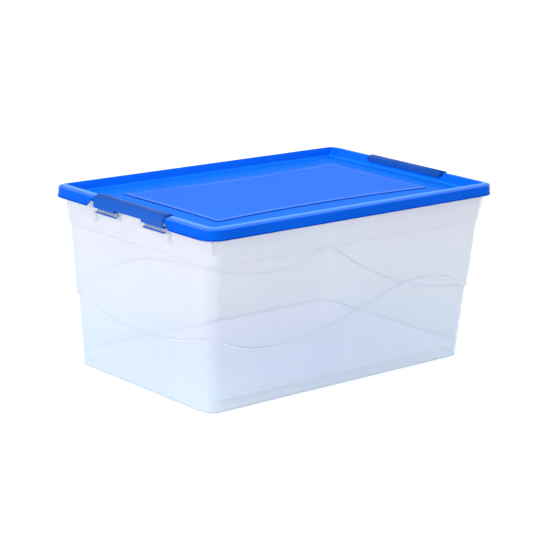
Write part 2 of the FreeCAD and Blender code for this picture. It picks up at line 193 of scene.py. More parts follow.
# Studio light: colour of the sky at the sine of a height above the horizon
SKY = [(0.0, (1.0, 1.0, 1.0)), (0.1, (1.16, 1.18, 1.2)), (0.7, (1.2, 1.2, 1.2)), (1.0, (1.2, 1.2, 1.2))]
LIGHTS = {"key": ((-3.15, -0.9, 1.25), 84.0), "fill": ((3.3, 0.2, 1.4), 26.0)}  # place in metres, watts
LIGHT_SIZE = 1.8
LIGHT_TARGET = (0.0, 0.0, 0.15)
FLOOR_HALF = 12.0
FLOOR_WHITES = ((0.93, 0.93, 0.94, 1), (0.96, 0.96, 0.965, 1))
FLOOR_ROUGHNESS = 0.7

# Camera: place in metres, degrees and millimetres
CAMERA_PLACE = (-2.01913, -2.25556, 0.92162)
CAMERA_AZIMUTH = -41.978
CAMERA_ELEVATION = 14.639
CAMERA_ROLL = 1.846
CAMERA_LENS = 125.98
CAMERA_SENSOR = 36.0


# ---------------------------------------------------------------- outlines

def corner_arc(a, b, c, radius, steps=5):
    """Points of a fillet at b, between straight runs from a and to c, or b where they are nearly in line."""
    a, b, c = Vector(a), Vector(b), Vector(c)
    to_a, to_c = (a - b).normalized(), (c - b).normalized()
    half = to_a.angle(to_c) / 2
    if radius <= 0 or half > pi / 2 - 0.02:
        return [tuple(b)]
    reach = radius / tan(half)
    start, end = b + to_a * reach, b + to_c * reach
    centre = b + (to_a + to_c).normalized() * (radius / sin(half))
    ray_a, ray_c = start - centre, end - centre
    turn = ray_a.angle(ray_c)
    points = []
    for i in range(steps + 1):
        t = i / steps
        ray = (ray_a * sin((1 - t) * turn) + ray_c * sin(t * turn)) / sin(turn)
        points.append(tuple(centre + ray))
    return points


def rounded_outline(corners):
    """Closed outline from (x, z, fillet radius) corners."""
    points = []
    count = len(corners)
    for i, (x, z, radius) in enumerate(corners):
        before, after = corners[i - 1][:2], corners[(i + 1) % count][:2]
        points += corner_arc(before, (x, z), after, radius)
    return points


def natural_spline(knots):
    """Smooth height through (x, z) knots, as a function of x."""
    xs = [x for x, _ in knots]
    zs = [z for _, z in knots]
    count = len(xs)
    gaps = [xs[i + 1] - xs[i] for i in range(count - 1)]
    bend = [0.0] * count
    upper = [0.0] * count
    for i in range(1, count - 1):
        slope = 6 * ((zs[i + 1] - zs[i]) / gaps[i] - (zs[i] - zs[i - 1]) / gaps[i - 1])
        pivot = 2 * (gaps[i - 1] + gaps[i]) - gaps[i - 1] * upper[i - 1]
        upper[i] = gaps[i] / pivot
        bend[i] = (slope - gaps[i - 1] * bend[i - 1]) / pivot
    for i in range(count - 2, 0, -1):
        bend[i] -= upper[i] * bend[i + 1]

    def height(x):
        x = min(max(x, xs[0]), xs[-1])
        i = max(j for j in range(count - 1) if xs[j] <= x)
        gap, gone, left = gaps[i], x - xs[i], xs[i + 1] - x
        return (bend[i] * left ** 3 + bend[i + 1] * gone ** 3) / (6 * gap) \
            + (zs[i] / gap - bend[i] * gap / 6) * left + (zs[i + 1] / gap - bend[i + 1] * gap / 6) * gone
    return height


long_wave = natural_spline(LONG_WAVE)


def short_wave(y):
    """Arc through the two corners and the low middle of a short wall."""
    drop = CORNER_WAVE_Z - SHORT_WAVE_LOW_Z
    return SHORT_WAVE_LOW_Z + drop * min(abs(y) / MITRE[1], 1.0) ** 2


# ---------------------------------------------------------------- stations round the box

# Place on the outline of the box: its side or "corner", the distance along the side from its middle
# or the angle in the corner, and the number of that corner or of the next one.
Station = namedtuple("Station", "kind value quarter")


def spaced(low, high, step):
    """Even places from low to high, about step apart."""
    count = max(1, round((high - low) / step))
    return [low + (high - low) * i / count for i in range(count + 1)]


def end_positions():
    """Places along a short side: even ones, and close ones at the latch gap."""
    inner = spaced(-80.0, 80.0, 10.0)
    outer = END_MARKS + spaced(112.0, SHORT_SIDE_END, 7.0)
    return [-y for y in reversed(outer)] + inner + outer


def make_stations():
    """Stations round the outline, anticlockwise from the start of the side on +X."""
    long_places = spaced(-LONG_SIDE_END, LONG_SIDE_END, 7.0)
    angles = [90.0 * (i + 0.5) / CORNER_STEPS for i in range(CORNER_STEPS)]
    stations = []
    for quarter, side in enumerate(("x+", "y+", "x-", "y-")):
        values = end_positions() if side[0] == "x" else long_places
        stations += [Station(side, value, quarter) for value in values]
        stations += [Station("corner", quarter * 90.0 + angle, quarter) for angle in [0.0] + angles + [90.0]]
    return stations


STATIONS = make_stations()


def place(station, half_x, half_y, radius):
    """Plan position of a station on a rounded rectangle."""
    kind, value, quarter = station
    if kind == "x+":
        return half_x, value
    if kind == "x-":
        return -half_x, -value
    if kind == "y+":
        return -value, half_y
    if kind == "y-":
        return value, -half_y
    angle = radians(value)
    sx = (1, -1, -1, 1)[quarter]
    sy = (1, 1, -1, -1)[quarter]
    return sx * (half_x - radius) + radius * cos(angle), sy * (half_y - radius) + radius * sin(angle)


def wave_at(station):
    """Height of the wave line at a station. Opposite walls match after half a turn."""
    x, y = place(station, BASE[0] + WAVE_GROWTH, BASE[1] + WAVE_GROWTH, TUB_R)
    if abs(x) - MITRE[0] > abs(y) - MITRE[1]:
        return short_wave(y)
    return long_wave(x if y < 0 else -x)


WAVES = [wave_at(station) for station in STATIONS]


def end_distance(station):
    """Distance from the middle of a short side, or None off the short sides."""
    return abs(station.value) if station.kind in ("x+", "x-") else None


# ---------------------------------------------------------------- meshes

def new_piece(name, mesh_data, body, slot, materials, *nodes):
    """Object from finished bmesh data in millimetres, riding on a body."""
    mesh = bpy.data.meshes.new(name)
    bmesh.ops.scale(mesh_data, vec=(MM, MM, MM), verts=mesh_data.verts)
    mesh_data.to_mesh(mesh)
    mesh_data.free()
    piece = bpy.data.objects.new(name, mesh)
    bpy.context.scene.collection.objects.link(piece)
    for material in materials:
        mesh.materials.append(material)
    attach(piece, body)
    if nodes:
        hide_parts(*nodes)
    return piece


def closed_skin(rows, materials):
    """Closed mesh from (finish, loop of points) rows, capped at both ends.

    The finish of a row names the material of the band that starts there.
    """
    skin = bmesh.new()
    names = list(materials)
    numbers = [names.index(finish) for finish, _ in rows]
    loops = [[skin.verts.new(point) for point in loop] for _, loop in rows]
    count = len(loops[0])
    for i in range(len(loops) - 1):
        for j in range(count):
            k = (j + 1) % count
            face = skin.faces.new((loops[i][j], loops[i][k], loops[i + 1][k], loops[i + 1][j]))
            face.material_index = numbers[i]
            face.smooth = True
    first = skin.faces.new(list(reversed(loops[0])))
    last = skin.faces.new(loops[-1])
    first.material_index = numbers[0]
    last.material_index = numbers[-1]
    bmesh.ops.recalc_face_normals(skin, faces=skin.faces)
    return skin


def loop_of(section):
    """One loop round the box. section(index, station) gives (half x, half y, radius, z)."""
    loop = []
    for index, station in enumerate(STATIONS):
        half_x, half_y, radius, z = section(index, station)
        x, y = place(station, half_x, half_y, radius)
        loop.append((x, y, z))
    return loop


def prism(points, y0, y1):
    """Closed prism of an (x, z) outline between two y values."""
    solid = bmesh.new()
    near = [solid.verts.new((x, y0, z)) for x, z in points]
    far = [solid.verts.new((x, y1, z)) for x, z in points]
    count = len(points)
    for i in range(count):
        j = (i + 1) % count
        solid.faces.new((near[i], near[j], far[j], far[i]))
    solid.faces.new(list(reversed(near)))
    solid.faces.new(far)
    bmesh.ops.recalc_face_normals(solid, faces=solid.faces)
    return solid


def union(solids, bevel):
    """One solid from several, with its hard edges rounded by a small bevel."""
    objects = []
    for solid in solids:
        mesh = bpy.data.meshes.new("union_part")
        solid.to_mesh(mesh)
        solid.free()
        thing = bpy.data.objects.new("union_part", mesh)
        bpy.context.scene.collection.objects.link(thing)
        objects.append(thing)
    base = objects[0]
    for other in objects[1:]:
        cut = base.modifiers.new("join", "BOOLEAN")
        cut.operation = "UNION"
        cut.solver = "EXACT"
        cut.object = other
    edge = base.modifiers.new("edge", "BEVEL")
    edge.width = bevel
    edge.segments = 2
    edge.limit_method = "ANGLE"
    edge.angle_limit = radians(BEVEL_ANGLE)
    bpy.context.view_layer.update()
    evaluated = base.evaluated_get(bpy.context.evaluated_depsgraph_get())
    result = bmesh.new()
    result.from_mesh(evaluated.to_mesh())
    evaluated.to_mesh_clear()
    for thing in objects:
        bpy.data.objects.remove(thing)
    for face in result.faces:
        face.smooth = True
    return result


def add_half_turned(target, source):
    """Adds a solid to target, and the same solid turned half round Z."""
    for sign in (1, -1):
        remap = {}
        for vert in source.verts:
            remap[vert] = target.verts.new((vert.co.x * sign, vert.co.y * sign, vert.co.z))
        for face in source.faces:
            copy = target.faces.new([remap[v] for v in face.verts])
            copy.smooth = face.smooth
            copy.material_index = face.material_index


# ---------------------------------------------------------------- tub

def wall_rect(z, step, inset):
    """Outline (half x, half y, radius) of the wall at a height, out by a step and in by an inset."""
    grow = WALL_DRAFT * z + step - inset
    return BASE[0] + grow, BASE[1] + grow, TUB_R - inset


def band_rect(z, inset):
    """Outline of the wider band under the rim at a height."""
    grow = WALL_DRAFT * BAND_Z + WAVE_STEP + BAND_STEP + BAND_DRAFT * (z - BAND_Z) - inset
    return BASE[0] + grow, BASE[1] + grow, TUB_R - inset


def wall_row(z, step=0.0, inset=0.0):
    """Row of the wall or floor at a fixed height."""
    return lambda index, station: (*wall_rect(z, step, inset), z)


def wave_row(offset, step, inset=0.0):
    """Row that follows the wave line at a height offset."""
    def section(index, station):
        z = WAVES[index] + offset
        return (*wall_rect(z, step, inset), z)
    return section


def between_row(share, low_z, wave_offset, step, inset=0.0):
    """Row part way from a fixed height to the wave line."""
    def section(index, station):
        z = low_z + (WAVES[index] + wave_offset - low_z) * share
        return (*wall_rect(z, step, inset), z)
    return section


def rim_row(normal, behind):
    """Row of the rim: one section all round, and another one low behind the latches."""
    def section(index, station):
        distance = end_distance(station)
        return behind if distance is not None and distance < LOW_RIM_HALF else normal
    return section


def band_row(z, inset=0.0):
    """Row on the band at a fixed height."""
    return lambda index, station: (*band_rect(z, inset), z)


def grown(rect, amount):
    """An outline larger by an amount all round, corner radius included."""
    return rect[0] + amount, rect[1] + amount, rect[2] + amount


def painted(finish, sections):
    """Rows of one finish, as (finish, loop)."""
    return [(finish, loop_of(section)) for section in sections]


def tub_rows():
    """Rows from the underside of the floor, down the foot, up outside, over the rim, down inside."""
    under = FLOOR_TOP - WALL
    underside = [wall_row(under, 0, WALL + 4.0), wall_row(under, 0, WALL + 2.0)]
    foot_inside = [wall_row(under - 0.15, 0, WALL + 0.5), wall_row(under - 0.8, 0, WALL),
                   wall_row(10.0, 0, WALL), wall_row(0.6, 0, WALL)]
    foot_edge = [wall_row(0.0, 0, WALL - 0.5), wall_row(0.0, 0, 0.5), wall_row(0.15, 0, 0.15), wall_row(0.6)]
    # The foot's edge takes a painted shade line.
    rows = painted("floor", underside) + painted("clear", foot_inside) + painted("shade_line", foot_edge)

    below_wave = [wall_row(z) for z in (1.8, 6.0, 14.0, FLOOR_TOP - 2.0, FLOOR_TOP)]
    below_wave += [between_row(i / 5, FLOOR_TOP, -6.0, 0.0) for i in range(1, 6)] + [wave_row(-2.0, 0.0)]
    # The wave step's bands take a painted highlight line.
    wave = [wave_row(-0.5, 0.05), wave_row(0.0, 0.5), wave_row(0.25, 1.3), wave_row(0.7, 1.85)]
    above_wave = [wave_row(1.6, WAVE_STEP), wave_row(5.0, WAVE_STEP)]
    above_wave += [between_row(1 - i / 6, BAND_Z - 6.0, 5.0, WAVE_STEP) for i in range(1, 7)]
    rows += painted("clear", below_wave) + painted("wave_highlight_line", wave) + painted("clear", above_wave)

    full_step = WAVE_STEP + BAND_STEP
    band = [wall_row(BAND_Z - 1.6, WAVE_STEP), wall_row(BAND_Z - 0.5, WAVE_STEP + 0.05),
            wall_row(BAND_Z, WAVE_STEP + 0.5), wall_row(BAND_Z + 0.25, WAVE_STEP + 1.3),
            wall_row(BAND_Z + 0.7, full_step - 0.12), band_row(BAND_Z + 1.6)]
    band += [band_row(z) for z in (BAND_Z + 6.0, 246.0, 258.0, 268.0, 275.0, 279.0)]
    low = LOW_RIM_Z
    flange_low = RIM_Z - FLANGE_THICKNESS
    rim = [((*band_rect(281.2, 0), 281.2), (*band_rect(low - 0.5, 0), low - 0.5)),
           ((*grown(band_rect(282, 0), 0.8), flange_low), (*band_rect(low, 0.1), low - 0.25)),
           ((*grown(FLANGE, -0.5), flange_low), (*band_rect(low, 0.3), low - 0.08)),
           ((*FLANGE, flange_low + 0.4), (*band_rect(low, 0.5), low)),
           ((*FLANGE, RIM_Z - 0.4), (*band_rect(low, 0.8), low)),
           ((*grown(FLANGE, -0.5), RIM_Z), (*band_rect(low, 1.2), low)),
           ((*band_rect(RIM_Z, WALL - 0.5), RIM_Z), (*band_rect(low, WALL - 0.4), low)),
           ((*band_rect(RIM_Z, WALL - 0.1), RIM_Z - 0.15), (*band_rect(low, WALL - 0.1), low - 0.15)),
           ((*band_rect(RIM_Z, WALL), RIM_Z - 0.6), (*band_rect(low, WALL), low - 0.6))]
    rows += painted("clear", band) + painted("clear", [rim_row(*pair) for pair in rim])

    top = BAND_Z + WALL
    inside = [band_row(z, WALL) for z in (279.0, 268.0, 250.0, top + 4.0, top + 1.4)]
    inside += [wall_row(top + 0.6, full_step - 0.2, WALL), wall_row(top + 0.1, full_step - 0.9, WALL),
               wall_row(top - 0.1, WAVE_STEP + 0.4, WALL), wall_row(top - 0.7, WAVE_STEP, WALL)]
    inside += [between_row(i / 5, top - 5.0, WALL + 4.0, WAVE_STEP, WALL) for i in range(0, 6)]
    inside_wave = [wave_row(WALL + 1.4, WAVE_STEP, WALL), wave_row(WALL + 0.5, 1.8, WALL),
                   wave_row(WALL + 0.1, 1.2, WALL), wave_row(WALL - 0.1, 0.4, WALL)]
    rows += painted("clear", inside) + painted("shade_line", inside_wave)

    lower_inside = [wave_row(WALL - 0.8, 0.0, WALL)]
    lower_inside += [between_row(1 - i / 5, FLOOR_TOP + 4.0, WALL - 4.0, 0.0, WALL) for i in range(0, 6)]
    fillet = [wall_row(FLOOR_TOP + 2.2, 0, WALL), wall_row(FLOOR_TOP + 0.8, 0, WALL + 0.7),
              wall_row(FLOOR_TOP + 0.1, 0, WALL + 2.0)]
    floor = [wall_row(FLOOR_TOP, 0, WALL + 3.2), wall_row(FLOOR_TOP, 0, WALL + 5.0)]
    return rows + painted("clear", lower_inside) + painted("shade_line", fillet) + painted("floor", floor)


def pivot_rib(y0, y1, low):
    """Rib that carries the end of a pivot bar: a deep square one outside, a short one inside."""
    boss = [(PIVOT[0] + BOSS_R * cos(radians(angle)), PIVOT[1] + BOSS_R * sin(radians(angle)))
            for angle in range(-60, 91, 10)]
    if low < INNER_RIB_LOW:
        foot = [(OUTER_RIB_ROOT_X, low), (RIB_NOSE_X, low)]
    else:
        foot = [(INNER_RIB_ROOT_X, low)]
    return prism(foot + boss + [RIB_TOP], y0, y1)


def circle(radius, centre, steps=24):
    """Points of a whole circle, as (x, z)."""
    return [(centre[0] + radius * cos(2 * pi * i / steps), centre[1] + radius * sin(2 * pi * i / steps))
            for i in range(steps)]


def corner_rib(sy):
    """Diagonal rib under the rim at the corner on the +X side."""
    half_x, half_y, radius = band_rect(CORNER_RIB_TOP, 0)
    rib = prism([(radius + reach, z) for reach, z in CORNER_RIB], -CORNER_RIB_HALF, CORNER_RIB_HALF)
    for vert in rib.verts:
        reach, side = vert.co.x, vert.co.y
        vert.co.x = half_x - radius + (reach - side) * cos(pi / 4)
        vert.co.y = sy * (half_y - radius + (reach + side) * sin(pi / 4))
    bmesh.ops.recalc_face_normals(rib, faces=rib.faces)
    return rib


def make_tub(materials):
    """Tub shell with its pivot bars and ribs. materials: one for each finish, fitting for the bars."""
    skin = closed_skin(tub_rows(), materials)
    fitting = list(materials).index("fitting")
    for side in (1, -1):
        start, end = sorted((side * BAR_SPAN[0], side * BAR_SPAN[1]))
        solids = [prism(circle(BAR_R, PIVOT), start, end)]
        for span, low in zip(RIB_SPANS, (INNER_RIB_LOW, OUTER_RIB_LOW)):
            solids.append(pivot_rib(*sorted((side * span[0], side * span[1])), low))
        fittings = union(solids, FITTING_BEVEL)
        for face in fittings.faces:
            face.material_index = fitting
        add_half_turned(skin, fittings)
        fittings.free()
        rib = union([corner_rib(side)], FITTING_BEVEL)
        add_half_turned(skin, rib)
        rib.free()
    return new_piece("tub_shell", skin, "tub", "clear_plastic", materials.values(), "tub")


# ---------------------------------------------------------------- lid

def lid_row(inset, z, gap=None, cut=True):
    """Row of the lid rim: inset (x, y) from the lip, and (x, z) in the gap for the latch.

    cut rows are lifted where the skirt's end slants beside the gap.
    """
    return {"inset": inset, "z": z, "gap": gap, "cut": cut}


def skirt_end_z(distance):
    """Height of the slanted end of the skirt beside the gap."""
    (y_high, z_high), (y_low, z_low) = SKIRT_CUT
    share = min(max((y_low - distance) / (y_low - y_high), 0.0), 1.0)
    return z_low + (z_high - z_low) * share


def rim_loop(row, number, gap_half, corner):
    """Loop of the lid rim for one row. corner: (radius lost per inset, least radius)."""
    def section(index, station):
        distance = end_distance(station)
        half_x, half_y = LIP[0] - row["inset"][0], LIP[1] - row["inset"][1]
        radius = max(LIP_R - corner[0] * row["inset"][1], corner[1])
        z = row["z"]
        if distance is not None and row["gap"] and distance < gap_half:
            half_x, z = row["gap"]
        elif distance is not None and distance < SKIRT_CUT[1][0] and row["cut"]:
            z = max(z, skirt_end_z(distance) + ROW_GAP * number)
        return half_x, half_y, radius, z
    return loop_of(section)


def panel_place(station, grow):
    """Plan position of a station on the panel's outline, whose sides curve inward."""
    half_x, half_y = PANEL[0] + grow, PANEL[1] + grow
    radius = max(PANEL_R + grow, 1.0)
    straight_x, straight_y = half_x - radius, half_y - radius
    if station.kind == "corner":
        return place(station, half_x, half_y, radius)
    on_long_side = station.kind[0] == "y"
    scale = straight_x / LONG_SIDE_END if on_long_side else straight_y / SHORT_SIDE_END
    x, y = place(station._replace(value=station.value * scale), half_x, half_y, radius)
    if on_long_side:
        y -= PANEL_BOW[1] * (1 - (x / straight_x) ** 2) * (1 if y > 0 else -1)
    else:
        x -= PANEL_BOW[0] * (1 - (y / straight_y) ** 2) * (1 if x > 0 else -1)
    return x, y


def panel_loop(grow, z):
    """Loop along the panel's outline, larger by an amount, at one height."""
    return [(*panel_place(station, grow), z) for station in STATIONS]


def ledge_loop(foot, share, foot_z, top_z):
    """Loop part way from the foot of the rim wall to the panel's outline."""
    points = []
    for station, (x, y, _) in zip(STATIONS, foot):
        px, py = panel_place(station, PANEL_FILLET)
        points.append((x + (px - x) * share, y + (py - y) * share, foot_z + (top_z - foot_z) * share))
    return points


def lid_top_rows():
    """Rows of the lid's upper face, from the foot of the skirt to the middle of the panel."""
    top, out, inner, lip = (SADDLE[key] for key in ("top", "out", "in", "lip"))
    foot = [lid_row((0.35, 0.35), 270.3, (out - 0.35, lip)),
            lid_row((0.0, 0.0), 270.65, (out, lip + 0.35))]
    skirt = [lid_row((0.0, 0.0), 272.5, (out, lip + 1.2)),
             lid_row((0.2, 0.2), 273.1, (out, lip + 1.9)),
             lid_row((0.8, 0.8), 273.6, (out, lip + 2.4)),
             lid_row((1.15, 1.15), 274.0, (out, lip + 2.8)),
             lid_row((1.25, 1.25), 274.8, (out, lip + 3.2)),
             lid_row((1.4, 1.4), 279.0, (out, lip + 3.5)),
             lid_row((1.6, 1.6), 283.8, (out, top - 1.0)),
             lid_row((1.75, 1.75), 284.7, (out - 0.12, top - 0.5))]
    strip = [lid_row((2.2, 2.15), 285.5, (out - 0.4, top - 0.15)),
             lid_row((3.0, 2.9), 286.1, (out - 0.9, top)),
             lid_row((4.2, 3.9), 286.45, (out - 1.8, top))]
    crest_highlight = [lid_row((9.5, 8.2), 287.34, (288.0, top)),
             lid_row((13.6, 11.4), 288.1, (285.5, top)),
             lid_row((15.0, 12.6), 288.45, (283.5, top))]
    wall = [lid_row((16.2, 13.6), 288.6, (282.3, top)),
            lid_row((17.2, 14.3), 288.4, (281.5, top - 0.08)),
            lid_row((17.9, 14.8), 287.8, (281.0, top - 0.35)),
            lid_row((18.35, 15.15), 286.9, (inner, top - 1.2)),
            lid_row((20.4, 15.9), 281.6, (279.0, 279.0), False)]
    fold_highlight = [lid_row((22.6, 16.75), 276.0, (277.2, 275.9), False),
            lid_row((23.1, 17.0), 274.9, (276.8, 274.9), False),
            lid_row((23.7, 17.5), 274.0, (276.2, 274.0), False),
            lid_row((24.6, 18.3), 273.55, (275.3, 273.55), False)]
    ledge = [lid_row((26.2, 19.8), LEDGE_Z, (273.8, LEDGE_Z), False)]
    rows = []
    # Each band takes its own blue, painted light: shade on the skirt's foot and the panel's riser, darker
    # upright sides on the skirt, highlights on the crest, fold and shoulder.
    for finish, profile in (("shade", foot), ("skirt", skirt), ("strip", strip), ("crest_highlight", crest_highlight),
                            ("wall", wall), ("fold_highlight", fold_highlight), ("ledge", ledge)):
        for row in profile:
            rows.append((finish, rim_loop(row, len(rows), GAP_HALF, TOP_CORNER)))
    start = rows[-1][1]
    rows += [("ledge", ledge_loop(start, share, LEDGE_Z, PANEL_FOOT_Z))
             for share in (0.06, 0.3, 0.6, 0.9, 0.985)]
    riser = [(PANEL_FILLET, 0.0), (1.0, 0.1), (0.55, 0.3), (0.3, 0.6), (0.0, 0.9)]
    shoulder_highlight = [(-0.7, 1.15), (-5.0, 1.54)]
    # The riser takes the shade finish: a painted dark line of shade along the panel's edge.
    rows += [("shade", panel_loop(grow, PANEL_FOOT_Z + rise)) for grow, rise in riser]
    rows += [("shoulder_highlight", panel_loop(grow, PANEL_FOOT_Z + rise)) for grow, rise in shoulder_highlight]
    rows += [("panel", panel_loop(grow, PANEL_Z)) for grow in (-7.0, -12.0, -40.0, -90.0)]
    return rows


def lid_under_rows():
    """Rows of the lid's lower face, from the middle of the panel to the foot of the skirt."""
    lip, roof, out = SADDLE["lip"], SADDLE["top"] - SADDLE["thickness"], SADDLE["out"] - SADDLE["thickness"]
    low = LEDGE_Z - LID_THICKNESS
    profile = [lid_row((1.9, 1.9), 270.3, (out + 0.35, lip)),
               lid_row((2.3, 2.3), 270.7, (out, lip + 0.35)),
               lid_row((2.6, 2.6), 274.0, (out, lip + 1.2)),
               lid_row((3.4, 3.4), 283.4, (out, roof - 0.5)),
               lid_row((3.7, 3.6), 283.9, (out - 0.15, roof - 0.15)),
               lid_row((4.4, 4.2), 284.3, (out - 0.5, roof)),
               lid_row((9.4, 8.2), 285.2, (287.0, roof)),
               lid_row((15.2, 12.2), 286.3, (283.4, roof)),
               lid_row((16.1, 12.8), 286.3, (282.7, roof - 0.1)),
               lid_row((16.6, 13.1), 285.8, (282.2, roof - 0.7)),
               lid_row((20.9, 15.0), 272.4, (277.7, 272.4), False),
               lid_row((21.3, 15.3), low + 0.35, (277.3, low + 0.35), False),
               lid_row((22.0, 16.0), low, (276.6, low), False),
               lid_row((26.4, 20.2), low, (273.6, low), False)]
    rows = [rim_loop(row, number, GAP_HALF + GAP_WALL, UNDER_CORNER) for number, row in enumerate(profile)]
    foot = rows[-1]
    rows += [ledge_loop(foot, share, low, PANEL_FOOT_Z - LID_THICKNESS) for share in (0.06, 0.5, 0.985)]
    rows += [panel_loop(-LID_THICKNESS + 0.4, PANEL_FOOT_Z - LID_THICKNESS + 0.2),
             panel_loop(-LID_THICKNESS - 0.2, PANEL_Z - LID_THICKNESS),
             panel_loop(-40.0, PANEL_Z - LID_THICKNESS), panel_loop(-90.0, PANEL_Z - LID_THICKNESS)]
    return [("wall", row) for row in reversed(rows)]


def make_lid(materials):
    """Lid shell. materials: one for each finish that the rows name."""
    skin = closed_skin(lid_under_rows() + lid_top_rows(), materials)
    return new_piece("lid_shell", skin, "lid", "blue_plastic", materials.values(), "lid")


# ---------------------------------------------------------------- latches

def wrap_arc(radius, start, end):
    """Points round the pivot between two angles, as (x, z, 0)."""
    angles = [radians(start + (end - start) * i / WRAP_STEPS) for i in range(WRAP_STEPS + 1)]
    return [(PIVOT[0] + radius * cos(angle), PIVOT[1] + radius * sin(angle), 0.0) for angle in angles]


def leg_outline():
    """Cross-section of a leg: the arch, its foot, and the wrap round the pivot bar."""
    outside = wrap_arc(WRAP_OUTSIDE_R, WRAP_OUTSIDE_START, WRAP_END)
    inside = wrap_arc(WRAP_INSIDE_R, WRAP_END, WRAP_INSIDE_START)
    return rounded_outline(ARCH_IN + LEG_BACK + outside + inside + LEG_FOOT + ARCH_OUT)


def centre_outline():
    """Cross-section between the legs, which ends above the pivot."""
    return rounded_outline(ARCH_IN + CENTRE_FOOT + ARCH_OUT)


def latch_rib(y):
    """Stiffening rib under the arch."""
    return prism(LATCH_RIB, y - LATCH_RIB_HALF, y + LATCH_RIB_HALF)


def make_latch(name, sign, material):
    """Latch on the +X end for sign 1, and the same one turned half round for sign -1."""
    solids = [prism(centre_outline(), -LATCH_HALF, LATCH_HALF)]
    for side in (1, -1):
        solids.append(prism(leg_outline(), *sorted((side * LEG_START, side * LATCH_HALF))))
    solids += [latch_rib(y) for y in LATCH_RIB_PLACES]
    solid = union(solids, LATCH_BEVEL)
    if sign < 0:
        for vert in solid.verts:
            vert.co.x, vert.co.y = -vert.co.x, -vert.co.y
    return new_piece(name + "_clip", solid, name, "latch_plastic", [material], name)


# ---------------------------------------------------------------- materials

def node_material(name):
    """New material with one Principled shader: (material, nodes, links, shader)."""
    material = bpy.data.materials.new(name)
    material.use_nodes = True
    nodes = material.node_tree.nodes
    links = material.node_tree.links
    nodes.clear()
    output = nodes.new("ShaderNodeOutputMaterial")
    shader = nodes.new("ShaderNodeBsdfPrincipled")
    links.new(shader.outputs["BSDF"], output.inputs["Surface"])
    return material, nodes, links, shader


def noise(nodes, links, scale, detail, stretch=(1.0, 1.0, 1.0)):
    """Noise in the object's own metres."""
    coordinates = nodes.new("ShaderNodeTexCoord")
    mapping = nodes.new("ShaderNodeMapping")
    mapping.inputs["Scale"].default_value = stretch
    texture = nodes.new("ShaderNodeTexNoise")
    texture.inputs["Scale"].default_value = scale
    texture.inputs["Detail"].default_value = detail
    links.new(coordinates.outputs["Object"], mapping.inputs["Vector"])
    links.new(mapping.outputs["Vector"], texture.inputs["Vector"])
    return texture.outputs["Fac"]


def ramp(nodes, links, value, low, high, stops=(0.3, 0.7)):
    """Two-colour ramp of a value."""
    blend = nodes.new("ShaderNodeValToRGB")
    blend.color_ramp.elements[0].position = stops[0]
    blend.color_ramp.elements[1].position = stops[1]
    blend.color_ramp.elements[0].color = low
    blend.color_ramp.elements[1].color = high
    links.new(value, blend.inputs["Fac"])
    return blend.outputs["Color"]


def spread(nodes, links, value, low, high):
    """Value remapped to a range."""
    remap = nodes.new("ShaderNodeMapRange")
    remap.inputs["To Min"].default_value = low
    remap.inputs["To Max"].default_value = high
    links.new(value, remap.inputs["Value"])
    return remap.outputs["Result"]


def add_grain(nodes, links, shader, scale, depth):
    """Fine grain of the moulded surface: noise scale and depth in metres."""
    relief = nodes.new("ShaderNodeBump")
    relief.inputs["Distance"].default_value = depth
    links.new(noise(nodes, links, scale, GRAIN_DETAIL), relief.inputs["Height"])
    links.new(relief.outputs["Normal"], shader.inputs["Normal"])


def blue_plastic(name, dark, light, roughness, grain, gloss):
    """Opaque blue plastic with slightly uneven colour and roughness."""
    material, nodes, links, shader = node_material(name)
    cloud = noise(nodes, links, *BLUE_CLOUD)
    links.new(ramp(nodes, links, cloud, (*dark, 1), (*light, 1)), shader.inputs["Base Color"])
    links.new(spread(nodes, links, cloud, *roughness), shader.inputs["Roughness"])
    add_grain(nodes, links, shader, *grain)
    shader.inputs["IOR"].default_value = PLASTIC_IOR
    shader.inputs["Specular IOR Level"].default_value = gloss
    return material


def height_mix(nodes, links, cloud):
    """0 at the foot of the tub and 1 at its band, made uneven by the cloud."""
    coordinates = nodes.new("ShaderNodeTexCoord")
    parts = nodes.new("ShaderNodeSeparateXYZ")
    links.new(coordinates.outputs["Object"], parts.inputs["Vector"])
    climb = nodes.new("ShaderNodeMapRange")
    climb.inputs["From Min"].default_value = TINT_HEIGHTS[0]
    climb.inputs["From Max"].default_value = TINT_HEIGHTS[1]
    climb.inputs["To Max"].default_value = TINT_CLIMB
    links.new(parts.outputs["Z"], climb.inputs["Value"])
    uneven = nodes.new("ShaderNodeMath")
    uneven.operation = "MULTIPLY_ADD"
    uneven.inputs[1].default_value = TINT_CLOUD
    links.new(cloud, uneven.inputs[0])
    links.new(climb.outputs["Result"], uneven.inputs[2])
    return uneven.outputs["Value"]


